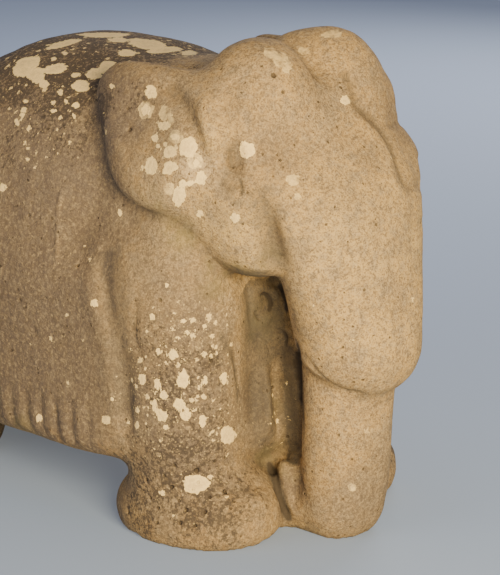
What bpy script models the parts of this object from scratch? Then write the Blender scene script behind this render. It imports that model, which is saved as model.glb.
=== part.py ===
"""A standing elephant, modelled as one solid piece of pale fired clay.

Every size below is written in steps of which the figure is FIGURE_STEPS high, and is multiplied by MM,
the length of one step. A step is close to a millimetre. So the figure keeps its proportions when HEIGHT
changes. The animal faces -Y, its left side is +X and +Z is up. While it is modelled, the foot of the
trunk stands at the origin. At the end the figure is moved so that the origin is on the ground, under
the middle of its box.

The figure is built like a clay one: lumps are pressed together with soft joins, and the carving is cut
into the joined form. A rough figure of small blocks is then pulled onto that form.
"""

import math

import bmesh
import bpy
import numpy as np
from mathutils import Euler, Matrix

# Driving dimension
HEIGHT = 0.600
FIGURE_STEPS = 589
MM = HEIGHT / FIGURE_STEPS

# Fineness of the surface
BLOCK = 12 * MM
ROUGH_CELL = 8 * MM
FINE_CELL = 5 * MM
TRIANGLES = 9400
PULLS = 3
FEEL = 0.4 * MM

# Soft joins between lumps
SOFT = 34 * MM
FIRM = 16 * MM
TIGHT = 7 * MM
MIDLINE_SOFTNESS = 9 * MM

# The block of clay that the figure is cut from: its corners
LOW_CORNER = (-250, -860, -60)
HIGH_CORNER = (250, 130, 620)

CLAY_COLOUR = (0.46, 0.36, 0.25, 1.0)
CLAY_ROUGHNESS = 0.92


def clear_scene():
    for obj in list(bpy.data.objects):
        bpy.data.objects.remove(obj, do_unlink=True)


def point(x, forward, z):
    """A place: x to the animal's left, forward from the trunk's foot, z above the ground."""
    return np.array([x, -forward, z], float) * MM


# Distance to the simple forms


def lump(x, forward, z, wide, deep, high, pitch=0.0, roll=0.0, yaw=0.0):
    """An egg-shaped lump: its centre, its three half sizes, and how it is turned, in degrees.

    Pitch tips its front up, roll leans its top outwards, yaw turns its front outwards."""
    turn = Euler((math.radians(-pitch), math.radians(roll), math.radians(yaw)), "XYZ").to_matrix()
    return {
        "centre": point(x, forward, z),
        "radii": np.array([wide, deep, high], float) * MM,
        "turn": np.array(turn),
    }


def lump_distance(places, lump):
    """Distance from an egg-shaped lump, below zero inside it."""
    local = (places - lump["centre"]) @ lump["turn"]
    radii = lump["radii"]
    near = np.linalg.norm(local / radii, axis=1)
    steep = np.linalg.norm(local / radii**2, axis=1)
    return near * (near - 1) / np.maximum(steep, 1e-9)


def flowing(rows, steps):
    """A smooth run of rows through the given ones."""
    rows = np.array(rows, float)
    padded = np.vstack((2 * rows[0] - rows[1], rows, 2 * rows[-1] - rows[-2]))
    found = []
    for i in range(len(rows) - 1):
        a, b, c, d = padded[i : i + 4]
        for t in np.arange(steps) / steps:
            bend = (a - 2.5 * b + 2 * c - d / 2) * t**2 + (1.5 * (b - c) + (d - a) / 2) * t**3
            found.append(b + (c - a) * t / 2 + bend)
    return np.array([*found, rows[-1]])


def stack(along, stations, start_cap, end_cap, power=2.0):
    """A form built of slices across one axis.

    Each station holds its place on that axis, the middle of the slice on the other axis, half its width
    and half its other size. Rounded caps of the given lengths close the two ends."""
    return {
        "along": along,
        "rows": flowing(stations, 10),
        "caps": (start_cap, end_cap),
        "power": power,
    }


def stack_distance(places, form):
    forward = -places[:, 1] / MM
    z = places[:, 2] / MM
    travel, other = (z, forward) if form["along"] == "z" else (forward, z)
    rows = form["rows"]
    order = np.argsort(rows[:, 0])
    table = rows[order]
    kept = np.clip(travel, table[0, 0], table[-1, 0])
    middle, half_width, half_other = (np.interp(kept, table[:, 0], table[:, i]) for i in (1, 2, 3))
    low_cap, high_cap = form["caps"] if rows[0, 0] < rows[-1, 0] else form["caps"][::-1]
    over = (travel - kept) / np.where(travel < kept, low_cap, high_cap)
    cap = np.where(travel < kept, low_cap, high_cap)
    across = np.abs(places[:, 0]) / MM
    off = np.abs(other - middle)
    power = form["power"]
    flat = ((across / half_width) ** power + (off / half_other) ** power) ** (1 / power)
    near = np.hypot(flat, over)
    steep = np.sqrt((across / half_width**2) ** 2 + (off / half_other**2) ** 2 + (over / cap) ** 2)
    return near * (near - 1) / np.maximum(steep, 1e-9) * MM


def slab_distance(places, slab):
    """Distance from an upright slab with a rounded plan and rounded edges."""
    across = np.abs(places[:, 0]) / (slab["half_width"] * MM)
    half_length = (slab["front"] - slab["back"]) / 2 * MM
    along = np.abs(-places[:, 1] - slab["back"] * MM - half_length) / half_length
    near = (across ** slab["power"] + along ** slab["power"]) ** (1 / slab["power"])
    plan = (near - 1) * slab["half_width"] * MM
    middle = (slab["top"] + slab["bottom"]) / 2 * MM
    level = np.abs(places[:, 2] - middle) - (slab["top"] - slab["bottom"]) / 2 * MM
    edge = slab["edge"] * MM
    outside = np.hypot(np.maximum(plan + edge, 0), np.maximum(level + edge, 0))
    return outside + np.minimum(np.maximum(plan, level) + edge, 0) - edge


def joined(first, second, softness):
    """The union of two forms, with clay smoothed into the corner between them."""
    blend = np.maximum(softness - np.abs(first - second), 0) / softness
    return np.minimum(first, second) - blend * blend * softness / 4


def trimmed(form, keep, softness):
    """The part of a form that lies inside another one, with the edge softened."""
    return -joined(-form, -keep, softness)


def ramp(values, start, end):
    """Zero before the start, one after the end, and an even curve between."""
    share = np.clip((values - start) / (end - start), 0, 1)
    return share * share * (3 - 2 * share)


# The lumps: those with x above zero stand for a pair

BODY = stack(
    "forward",
    (
        (-225, 323, 160, 197),
        (-290, 323, 190, 217),
        (-360, 322, 200, 225),
        (-450, 318, 206, 227),
        (-500, 310, 205, 217),
        (-560, 298, 202, 204),
        (-620, 287, 197, 189),
        (-680, 275, 184, 167),
        (-725, 264, 165, 142),
        (-758, 252, 138, 111),
        (-776, 245, 110, 80),
    ),
    start_cap=60,
    end_cap=11,
    power=2.3,
)

BELLY = {
    "front": -88,
    "back": -772,
    "half_width": 203,
    "power": 4.6,
    "bottom": 84,
    "top": 330,
    "edge": 34,
}

NECK = (
    lump(0, -210, 420, 150, 106, 122),
    lump(0, -205, 300, 156, 92, 130),
)

SHOULDERS = (
    lump(112, -180, 262, 72, 74, 150),
)

HIPS = (
    lump(120, -640, 250, 84, 110, 170),
)

DOMES = (
    lump(57, -82, 521, 56, 62, 66),
)

SKULL = (
    lump(0, -100, 473, 130, 88, 87),
)

CHEEKS = (
    lump(90, -73, 404, 54, 64, 74),
    lump(108, -122, 430, 52, 74, 68, pitch=-20),
    lump(84, -42, 364, 42, 42, 36),
)

TEMPLES = (
    lump(111, -90, 482, 38, 50, 53, pitch=-8),
)

EYES = (
    lump(108, -36, 428, 35, 36, 28),
)

UPPER_TRUNK = stack(
    "z",
    (
        (550, -104, 60, 40),
        (510, -74, 84, 58),
        (465, -44, 100, 66),
        (415, -14, 112, 70),
        (360, 2, 99, 68),
        (300, 14, 84, 67),
        (255, 20, 73, 67),
        (240, 22, 71, 67),
    ),
    start_cap=30,
    end_cap=66,
)
LIP_MIDDLE = (30, 200)
LIP_TILT = 21

LOWER_TRUNK = stack(
    "z",
    (
        (240, 9, 49, 49),
        (170, 7, 50, 48),
        (100, 5, 49, 47),
        (60, 3, 48, 46),
        (34, 0, 46, 44),
    ),
    start_cap=40,
    end_cap=46,
)

TRUNK_TIP = (
    lump(0, -34, 26, 43, 46, 36),
    lump(0, -74, 42, 32, 26, 40, pitch=6),
    lump(30, -58, 38, 23, 20, 44),
)

WEB = stack(
    "z",
    (
        (330, -60, 20, 50),
        (180, -62, 12, 44),
        (50, -66, 12, 40),
    ),
    start_cap=30,
    end_cap=30,
)

FRONT_LEG = (
    lump(120, -140, 240, 66, 66, 190),
    lump(118, -142, 110, 64, 64, 150),
)
FRONT_FOOT = (
    lump(102, -138, 22, 84, 108, 60),
    lump(108, -138, 60, 66, 76, 54),
    lump(76, -102, 24, 54, 60, 58),
)

HIND_LEG = (
    lump(122, -636, 150, 70, 84, 160),
)
HIND_THIGH = (
    lump(124, -556, 130, 76, 190, 90, pitch=4),
)
HIND_FOOT = (
    lump(104, -622, 22, 84, 108, 60),
    lump(114, -632, 62, 72, 82, 56),
)

EAR = lump(139, -161, 480, 28, 74, 88, pitch=36, roll=-25)
EAR_CORNER = lump(124, -217, 513, 22, 57, 44, pitch=-20, roll=-25)

CHEST = (
    lump(0, -128, 112, 92, 48, 56),
)

TOENAILS = (
    lump(134, -60, 42, 20, 12, 17, yaw=38),
    lump(100, -46, 40, 17, 11, 19, yaw=8),
    lump(74, -50, 34, 11, 10, 18, yaw=-20),
)
HIND_NAILS = tuple(
    lump(x, forward - 484, z, 17, 11, 17, yaw=yaw)
    for x, forward, z, yaw in ((134, -60, 42, 38), (100, -45, 40, 4), (66, -54, 42, -30))
)

TAIL = stack(
    "z",
    (
        (424, -696, 13, 13),
        (400, -722, 17, 17),
        (350, -762, 19, 19),
        (300, -782, 19, 19),
        (260, -788, 18, 18),
        (210, -788, 18, 18),
        (176, -786, 24, 20),
        (150, -778, 17, 16),
    ),
    start_cap=14,
    end_cap=16,
)


def lumps_distance(places, lumps, softness):
    form = lump_distance(places, lumps[0])
    for other in lumps[1:]:
        form = joined(form, lump_distance(places, other), softness)
    return form


def body_form(places):
    form = stack_distance(places, BODY)
    form = joined(form, slab_distance(places, BELLY), SOFT)
    form = joined(form, lumps_distance(places, NECK, SOFT), SOFT)
    form = joined(form, lumps_distance(places, SHOULDERS, SOFT), SOFT)
    form = joined(form, lumps_distance(places, HIPS, SOFT), SOFT)
    form = joined(form, lumps_distance(places, CHEST, SOFT), SOFT)
    return joined(form, stack_distance(places, TAIL), TIGHT)


def legs_form(places):
    front = lumps_distance(places, FRONT_LEG, SOFT)
    front = joined(front, lumps_distance(places, FRONT_FOOT, FIRM), FIRM)
    front = joined(front, lumps_distance(places, TOENAILS, TIGHT), FIRM)
    hind = lumps_distance(places, HIND_LEG + HIND_THIGH, SOFT)
    hind = joined(hind, lumps_distance(places, HIND_FOOT, FIRM), FIRM)
    hind = joined(hind, lumps_distance(places, HIND_NAILS, TIGHT), FIRM)
    return np.minimum(front, hind)


def head_form(places):
    form = lumps_distance(places, SKULL, FIRM)
    form = joined(form, lumps_distance(places, CHEEKS, SOFT), SOFT)
    form = joined(form, lumps_distance(places, DOMES, SOFT), 1.4 * SOFT)
    form = joined(form, lumps_distance(places, TEMPLES, SOFT), SOFT)
    form = joined(form, lumps_distance(places, EYES, SOFT), SOFT)
    ear = joined(lump_distance(places, EAR), lump_distance(places, EAR_CORNER), FIRM)
    return joined(form, ear, SOFT)


def trunk_form(places):
    upper = stack_distance(places, UPPER_TRUNK)
    tilt = math.radians(LIP_TILT)
    forward = -places[:, 1] - LIP_MIDDLE[0] * MM
    above = (places[:, 2] - LIP_MIDDLE[1] * MM) * math.cos(tilt) + forward * math.sin(tilt)
    upper = trimmed(upper, -above, FIRM)
    lower = stack_distance(places, LOWER_TRUNK)
    lower = joined(lower, lumps_distance(places, TRUNK_TIP, TIGHT), TIGHT)
    lip_softness = TIGHT / 2 + SOFT * ramp(-places[:, 1], 30 * MM, 80 * MM)
    form = joined(upper, lower, lip_softness)
    return joined(form, stack_distance(places, WEB), TIGHT)


# The carving: lines drawn on the side or on the front of the figure and cut into it


def along_line(across, up, cut):
    """How much of the cut's depth is left at each place of a flat view: all of it on the line, less and
    less beside it, and none at the line's two ends."""
    line = cut["line"] * MM
    gap = np.full(len(across), 1e9)
    for start, run in zip(line, np.diff(line, axis=0)):
        share = ((across - start[0]) * run[0] + (up - start[1]) * run[1]) / (run @ run)
        share = np.clip(share, 0, 1)
        here = np.hypot(across - start[0] - share * run[0], up - start[1] - share * run[1])
        gap = np.minimum(gap, here)
    left = np.exp(-((gap / (cut["width"] * MM)) ** 2))
    for end in (line[0], line[-1]):
        left = left * ramp(np.hypot(across - end[0], up - end[1]), 0, cut["ease"] * MM)
    return left


def side_cut(places, cut):
    """How deep one cut of the side view goes at each place."""
    within = ramp(np.abs(places[:, 0]), (cut["inner"] - 12) * MM, cut["inner"] * MM)
    return cut["depth"] * MM * within * along_line(-places[:, 1], places[:, 2], cut)


def front_cut(places, cut):
    """How deep one cut of the front view goes at each place."""
    forward = -places[:, 1] / MM
    within = ramp(forward, cut["back"] - 12, cut["back"])
    within = within * (1 - ramp(forward, cut["front"], cut["front"] + 12))
    return cut["depth"] * MM * within * along_line(np.abs(places[:, 0]), places[:, 2], cut)


def side(depth, width, inner, ease, line):
    """A cut drawn on the side: outside the inner width, easing in and out at its ends."""
    return {"depth": depth, "width": width, "inner": inner, "ease": ease, "line": flowing(line, 2)}


def front(depth, width, back, front, ease, line):
    """A cut drawn on the front, between two depths of the figure."""
    line = flowing(line, 2)
    return {"depth": depth, "width": width, "back": back, "front": front, "ease": ease, "line": line}


SIDE_CUTS = (
    # The valley from the dome past the eye
    side(5, 10, 95, 40, ((-72, 562), (-66, 540), (-60, 517), (-54, 497), (-48, 478), (-45, 455), (-36, 432))),
    # The soft roll behind it
    side(-3, 12, 100, 40, ((-96, 556), (-84, 530), (-76, 505), (-74, 475), (-74, 445))),
    # The eye hollow
    side(3, 8, 100, 16, ((-54, 496), (-47, 470), (-45, 452))),
    # The groove between cheek and trunk
    side(7, 11, 70, 50, ((-7, 440), (-6, 398), (-10, 370), (-6, 345), (0, 325))),
    # The front groove of the ear's hollow
    side(7, 10, 110, 30, ((-168, 540), (-123, 527), (-93, 505), (-80, 485), (-71, 462), (-69, 435))),
    # The front edge of the blanket, and the roll behind it
    side(5, 9, 140, 40, ((-206, 372), (-193, 300), (-180, 266), (-167, 233), (-164, 172), (-162, 100))),
    side(-3, 11, 150, 40, ((-226, 372), (-214, 300), (-201, 266), (-188, 233), (-184, 172), (-183, 110))),
    # The fold above the front leg
    side(3, 8, 130, 24, ((-168, 300), (-156, 262), (-150, 238), (-142, 222))),
    # The rear edge of the blanket
    side(4, 9, 110, 40, ((-690, 430), (-706, 340), (-706, 240), (-700, 150), (-694, 104))),
    # The step under the fringe, above the hind thigh
    side(5, 7, 120, 30, ((-380, 96), (-450, 98), (-560, 98), (-694, 100))),
)

FRONT_CUTS = (
    # The valley between the domes
    front(8, 13, -150, 60, 24, ((0, 614), (0, 530))),
    # The scroll on the chest: a boss, the groove around it, and the outer ridge
    front(-3, 6, -110, -50, 2, ((43, 274), (44, 268))),
    front(4, 5, -110, -50, 6, ((45, 283), (35, 280), (31, 271), (34, 262), (44, 259))),
    front(-4, 6, -110, -50, 8, ((52, 293), (33, 288), (23, 272), (28, 256), (42, 250))),
    # The small scroll below it, and the fold beside that
    front(-4, 5, -110, -50, 6, ((25, 248), (18, 240), (22, 230), (19, 218))),
    front(3, 6, -110, -50, 10, ((62, 240), (48, 232), (40, 222), (42, 210))),
    # The tassel that hangs below, between two grooves
    front(-5, 9, -110, -50, 16, ((36, 200), (41, 154), (46, 108))),
    front(4, 7, -110, -50, 20, ((20, 196), (24, 154), (30, 115))),
    front(2, 7, -110, -50, 20, ((54, 200), (58, 154), (63, 115))),
)

FRINGE = {
    "pitch": 25.8,
    "front": -222,
    "back": -692,
    "top": 160,
    "bottom": 104,
    "depth": 3.5,
}


def fringe_grooves(places):
    """How deep the grooves between the tassels of the blanket's fringe go at each place."""
    forward = -places[:, 1] / MM
    z = places[:, 2] / MM
    wave = 0.5 + 0.5 * np.cos(2 * math.pi * (forward - FRINGE["front"]) / FRINGE["pitch"])
    along = ramp(forward, FRINGE["back"] - 6, FRINGE["back"])
    along = along * (1 - ramp(forward, FRINGE["front"], FRINGE["front"] + 6))
    up = ramp(z, FRINGE["bottom"] - 10, FRINGE["bottom"])
    up = up * (1 - ramp(z, FRINGE["top"] - 12, FRINGE["top"]))
    outer = ramp(np.abs(places[:, 0]), 120 * MM, 140 * MM)
    return FRINGE["depth"] * MM * wave**3 * along * up * outer


def ear_hollow(places):
    """How deep the hollow of the ear goes at each place."""
    local = (places - EAR["centre"]) @ EAR["turn"]
    back = local[:, 1] + 8 * MM
    reach = np.hypot(back / (0.78 * EAR["radii"][1]), local[:, 2] / (0.8 * EAR["radii"][2]))
    outer = ramp(local[:, 0], 0, 12 * MM)
    return 11 * MM * outer * (1 - ramp(reach, 0.1, 1.05))


def carving(places):
    depth = ear_hollow(places) + fringe_grooves(places)
    for cut in SIDE_CUTS:
        depth = depth + side_cut(places, cut)
    for cut in FRONT_CUTS:
        depth = depth + front_cut(places, cut)
    return depth


def figure(places):
    """Distance from the whole figure."""
    mirrored = places.copy()
    mirrored[:, 0] = np.sqrt(places[:, 0] ** 2 + MIDLINE_SOFTNESS**2) - MIDLINE_SOFTNESS
    form = body_form(mirrored)
    form = joined(form, legs_form(mirrored), FIRM)
    form = joined(form, head_form(mirrored), TIGHT)
    trunk_softness = TIGHT + (SOFT - TIGHT) * ramp(mirrored[:, 2], 0.55 * HEIGHT, 0.70 * HEIGHT)
    return joined(form, trunk_form(mirrored), trunk_softness) + carving(mirrored)


# The surface


def cut_blocks():
    """A rough figure of small blocks: every block whose middle lies inside the form."""
    low = point(LOW_CORNER[0], HIGH_CORNER[1], LOW_CORNER[2])
    high = point(HIGH_CORNER[0], LOW_CORNER[1], HIGH_CORNER[2])
    counts = np.ceil((high - low) / BLOCK).astype(int)
    steps = np.indices(counts).reshape(3, -1).T
    inside = (figure(low + (steps + 0.5) * BLOCK) < 0).reshape(counts)
    inside = np.pad(inside, 1)
    corners = []
    for axis in range(3):
        for side_of_block in (0, 1):
            beside = np.roll(inside, 1 - 2 * side_of_block, axis)
            shown = np.argwhere(inside & ~beside) - 1
            square = np.zeros((4, 3), int)
            square[:, axis] = side_of_block
            square[:, (axis + 1) % 3] = (0, 1, 1, 0)
            square[:, (axis + 2) % 3] = (0, 0, 1, 1)
            if side_of_block == 0:
                square = square[::-1]
            corners.append((shown[:, None, :] + square).reshape(-1, 3))
    corners = np.concatenate(corners)
    unique, faces = np.unique(corners, axis=0, return_inverse=True)
    mesh = bpy.data.meshes.new("blocks")
    mesh.from_pydata((low + unique * BLOCK).tolist(), [], faces.reshape(-1, 4).tolist())
    return mesh


def with_modifier(mesh, kind, **settings):
    """A new mesh: the old one after one modifier. The old one is removed."""
    obj = bpy.data.objects.new("workpiece", mesh)
    bpy.context.scene.collection.objects.link(obj)
    modifier = obj.modifiers.new(kind.lower(), kind)
    for name, value in settings.items():
        setattr(modifier, name, value)
    graph = bpy.context.evaluated_depsgraph_get()
    made = bpy.data.meshes.new_from_object(obj.evaluated_get(graph), depsgraph=graph)
    bpy.data.objects.remove(obj)
    bpy.data.meshes.remove(mesh)
    return made


def slope(places, distances):
    """Which way the distance grows, by feeling a little way along each axis."""
    found = np.empty_like(places)
    for axis in range(3):
        step = np.zeros(3)
        step[axis] = FEEL
        found[:, axis] = (figure(places + step) - distances) / FEEL
    return found


def pull_onto_form(mesh, pulls):
    """Moves each vertex onto the figure's surface."""
    places = np.empty(len(mesh.vertices) * 3)
    mesh.vertices.foreach_get("co", places)
    places = places.reshape(-1, 3)
    for _ in range(pulls):
        distances = figure(places)
        direction = slope(places, distances)
        steep = np.maximum((direction**2).sum(1), 0.2)
        move = direction * (distances / steep)[:, None]
        length = np.linalg.norm(move, axis=1)
        limit = np.minimum(1, ROUGH_CELL / np.maximum(length, 1e-9))
        places = places - move * limit[:, None]
    mesh.vertices.foreach_set("co", places.ravel())
    mesh.update()


def cut_soles_flat(mesh):
    """Cuts everything below the ground away and closes each sole with one flat face."""
    clay = bmesh.new()
    clay.from_mesh(mesh)
    everything = clay.verts[:] + clay.edges[:] + clay.faces[:]
    bmesh.ops.bisect_plane(
        clay, geom=everything, plane_co=(0, 0, 0), plane_no=(0, 0, -1), clear_outer=True
    )
    rims = [edge for edge in clay.edges if edge.is_boundary]
    bmesh.ops.holes_fill(clay, edges=rims, sides=0)
    clay.to_mesh(mesh)
    clay.free()


def centre_over_origin(mesh):
    """Moves the figure so that the middle of its box stands over the origin, on the ground."""
    corners = np.empty(len(mesh.vertices) * 3)
    mesh.vertices.foreach_get("co", corners)
    corners = corners.reshape(-1, 3)
    middle = (corners.min(0) + corners.max(0)) / 2
    mesh.transform(Matrix.Translation((-middle[0], -middle[1], -corners[:, 2].min())))


def clay_material():
    material = bpy.data.materials.new("pale_clay")
    material.use_nodes = True
    shader = material.node_tree.nodes["Principled BSDF"]
    shader.inputs["Base Color"].default_value = CLAY_COLOUR
    shader.inputs["Roughness"].default_value = CLAY_ROUGHNESS
    shader.inputs["Metallic"].default_value = 0.0
    return material


def fine_mesh():
    mesh = cut_blocks()
    mesh = with_modifier(mesh, "REMESH", mode="VOXEL", voxel_size=ROUGH_CELL)
    pull_onto_form(mesh, PULLS)
    mesh = with_modifier(mesh, "REMESH", mode="VOXEL", voxel_size=FINE_CELL)
    pull_onto_form(mesh, PULLS)
    return mesh


def build_elephant():
    mesh = fine_mesh()
    count = sum(len(face.vertices) - 2 for face in mesh.polygons)
    mesh = with_modifier(mesh, "TRIANGULATE")
    mesh = with_modifier(mesh, "DECIMATE", ratio=TRIANGLES / count)
    cut_soles_flat(mesh)
    centre_over_origin(mesh)
    mesh.shade_smooth()
    mesh.materials.clear()
    mesh.materials.append(clay_material())
    mesh.name = "elephant"
    elephant = bpy.data.objects.new("elephant", mesh)
    bpy.context.scene.collection.objects.link(elephant)
    return elephant


def main():
    clear_scene()
    build_elephant()


main()
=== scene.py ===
# %% [markdown]
# # A weathered clay elephant
# The object is a stout garden elephant of pale fired clay, about 60 cm high. It stands with its trunk let
# down to the ground, under a blanket with a carved fringe. Years outdoors have left it granular, pitted
# and stained, with cream lichens on its ear, leg and back.
#
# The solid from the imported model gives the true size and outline, and it stays as the frame. Everything
# below makes one finer piece over it: an even mesh, then low carving, then the weathered finish.

# %% Load the frame
import math

import bmesh
import bpy
import numpy as np
from mathutils import Matrix, Vector, noise
from mathutils.bvhtree import BVHTree


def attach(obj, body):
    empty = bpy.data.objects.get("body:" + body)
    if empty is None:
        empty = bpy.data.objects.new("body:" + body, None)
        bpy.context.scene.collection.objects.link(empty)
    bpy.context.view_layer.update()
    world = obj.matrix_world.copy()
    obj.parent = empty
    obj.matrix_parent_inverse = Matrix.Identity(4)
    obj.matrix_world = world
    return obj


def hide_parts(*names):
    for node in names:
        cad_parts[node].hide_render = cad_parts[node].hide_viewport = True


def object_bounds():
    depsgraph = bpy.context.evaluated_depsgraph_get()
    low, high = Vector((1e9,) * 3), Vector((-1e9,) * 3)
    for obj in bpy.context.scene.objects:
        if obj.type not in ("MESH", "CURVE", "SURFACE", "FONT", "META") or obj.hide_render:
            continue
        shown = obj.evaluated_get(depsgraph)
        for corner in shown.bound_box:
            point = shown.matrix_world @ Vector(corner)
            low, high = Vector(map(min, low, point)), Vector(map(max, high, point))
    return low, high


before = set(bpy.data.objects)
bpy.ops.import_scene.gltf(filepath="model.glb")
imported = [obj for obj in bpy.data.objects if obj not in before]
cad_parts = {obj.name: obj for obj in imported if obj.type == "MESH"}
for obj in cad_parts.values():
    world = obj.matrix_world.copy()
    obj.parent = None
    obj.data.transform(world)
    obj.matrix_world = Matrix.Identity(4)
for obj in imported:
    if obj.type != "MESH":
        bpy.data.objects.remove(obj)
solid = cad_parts["elephant"]
cad_box = [list(corner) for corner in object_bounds()]
print("solid:", len(solid.data.polygons), "triangles, box", cad_box)

# %% [markdown]
# ## The camera
# The camera comes first, because marks are placed on the clay by looking through it. It stands to the
# right of the animal's face and a little above, three metres off with a long lens, so that the figure is
# drawn with hardly any perspective. It is aimed so that the foot of the trunk falls on its known place in
# the picture, without any lens shift. Places in the picture, and the focal length, are in its pixels.

# %% Place the camera
PICTURE = (500, 575)
TURN = math.radians(47)
RISE = math.radians(16)
FOCAL = 2505.0
SENSOR_HEIGHT = 36.0
TRUNK_FOOT_IN_PICTURE = (343, 528)
TRUNK_FOOT_FROM_FRONT = 0.0909
DISTANCE = 3.056

back = Vector((-math.sin(TURN) * math.cos(RISE), -math.cos(TURN) * math.cos(RISE), math.sin(RISE)))
right = Vector((math.cos(TURN), -math.sin(TURN), 0.0))
up = back.cross(right)
trunk_foot = Vector((0.0, cad_box[0][1] + TRUNK_FOOT_FROM_FRONT, 0.0))


def sight(u, v):
    """The direction from the camera through one place of the picture."""
    across = (u - PICTURE[0] / 2) / FOCAL
    down = (v - PICTURE[1] / 2) / FOCAL
    return right * across - up * down - back


eye_point = trunk_foot - sight(*TRUNK_FOOT_IN_PICTURE) * DISTANCE
camera_data = bpy.data.cameras.new("camera")
camera_data.sensor_fit = "VERTICAL"
camera_data.sensor_height = SENSOR_HEIGHT
camera_data.lens = FOCAL * SENSOR_HEIGHT / PICTURE[1]
camera = bpy.data.objects.new("camera", camera_data)
bpy.context.scene.collection.objects.link(camera)
turn = Matrix((right, up, back)).transposed().to_4x4()
camera.matrix_world = Matrix.Translation(eye_point) @ turn
bpy.context.scene.camera = camera
print("camera at", [round(c, 3) for c in eye_point], "lens", round(camera_data.lens, 1), "mm")

# %% [markdown]
# ## An even skin of clay
# The solid is drawn with few, large triangles. A sculptor's first step in Blender is the same as in clay:
# an even skin that takes detail anywhere. Subdivision rounds the facets, a voxel remesh spreads equal
# small faces over the whole figure, and a few smoothing passes take away what is left of the edges. Then
# the faces are thinned out, because detail will be added only where it is needed. Later smoothing leaves
# the soles flat, because the figure stands on them.

# %% Make the even skin
SAME_PLACE = 1e-5
SKIN_CELL = 0.0040
KEPT_SHARE = 0.40
SOLE = 0.0015

mesh = solid.data.copy()
mesh.materials.clear()
form = bmesh.new()
form.from_mesh(mesh)
bmesh.ops.remove_doubles(form, verts=form.verts, dist=SAME_PLACE)
form.to_mesh(mesh)
form.free()
blank = bpy.data.objects.new("blank", mesh)
bpy.context.scene.collection.objects.link(blank)
rounding = blank.modifiers.new("rounding", "SUBSURF")
rounding.levels = 2
rounding.render_levels = 2
skin = blank.modifiers.new("skin", "REMESH")
skin.mode = "VOXEL"
skin.voxel_size = SKIN_CELL
smoothing = blank.modifiers.new("smoothing", "SMOOTH")
smoothing.factor = 0.5
smoothing.iterations = 3
thinning = blank.modifiers.new("thinning", "DECIMATE")
thinning.ratio = KEPT_SHARE
shown = blank.evaluated_get(bpy.context.evaluated_depsgraph_get())
even = bpy.data.meshes.new_from_object(shown)
bpy.data.objects.remove(blank)
form = bmesh.new()
form.from_mesh(even)
print("even skin:", len(form.faces), "triangles")


def soften(shape, vertices, passes, factor=0.5):
    """Smooths the vertices, but leaves the height of those in a sole alone."""
    free = [v for v in vertices if v.co.z > SOLE]
    for _ in range(passes):
        bmesh.ops.smooth_vert(
            shape, verts=free, factor=factor, use_axis_x=True, use_axis_y=True, use_axis_z=True
        )


# %% [markdown]
# ## Marks on the clay
# Carving and lichens are placed by what the picture shows. A place in the picture is sent through the
# camera on to the skin, and where it lands is the place on the clay. A line in the picture is first made
# into a smooth curve, so that a few points are enough for a groove. What belongs to both sides of the
# animal, such as an ear's groove, is mirrored through the middle plane.

# %% Send places of the picture on to the clay
BEHIND_THE_EDGE = 0.03
skin_tree = BVHTree.FromBMesh(form)


def on_clay(u, v):
    """The point of the clay and its normal at a place of the picture, or nothing."""
    point, normal, _, _ = skin_tree.ray_cast(eye_point, sight(u, v).normalized())
    return (point, normal) if point is not None else None


def curve_through(points, spacing=2.0):
    """A smooth row of places through a few places of the picture."""
    stops = np.array([points[0], *points, points[-1]], float)
    row = []
    for a, b, c, d in zip(stops, stops[1:], stops[2:], stops[3:]):
        bend, twist = 2 * a - 5 * b + 4 * c - d, 3 * b - a - 3 * c + d
        steps = max(1, round(math.dist(b, c) / spacing))
        for t in np.arange(steps) / steps:
            row.append(0.5 * (2 * b + (c - a) * t + bend * t * t + twist * t**3))
    return row + [stops[-1]]


def line_on_clay(points):
    """The points and normals of a picture line on the clay, as two arrays."""
    hits = [on_clay(u, v) for u, v in curve_through(points)]
    hits = [hit for hit in hits if hit]
    return np.array([h[0] for h in hits]), np.array([h[1] for h in hits])


def round_the_outline(points, normals):
    """The same line, begun behind the outline of the figure, so that it runs over the edge."""
    start, normal, _, _ = skin_tree.find_nearest(Vector(points[0]) - back * BEHIND_THE_EDGE)
    return np.vstack([start, points]), np.vstack([normal, normals])


def mirrored(points, normals):
    """The same line on the other side of the animal."""
    flip = np.array([-1.0, 1.0, 1.0])
    return points * flip, normals * flip


# %% [markdown]
# ## Two worn folds
# The fold at the elbow and the one behind the ear are crisp in the solid and worn soft in the picture.
# Smoothing only the vertices close to them wears them down, as a wet finger does.

# %% Wear two folds soft
WORN_REACH = 0.013
WORN_PASSES = 18
WORN_FOLDS = {
    "elbow": [(112, 226), (113, 262), (114, 290), (119, 315), (124, 345), (129, 390)],
    "back of the ear": [(101, 84), (97, 110), (98, 131), (103, 154), (112, 178)],
}
corners = np.array([v.co[:] for v in form.verts])
for name, points in WORN_FOLDS.items():
    line, _ = line_on_clay(points)
    for side in (1, -1):
        gaps = np.linalg.norm(corners[:, None] - line[None, ::3] * (side, 1, 1), axis=2).min(1)
        worn = [v for v, gap in zip(form.verts, gaps) if gap < WORN_REACH]
        soften(form, worn, WORN_PASSES)
        print(name, "worn over", len(worn), "vertices")
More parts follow.
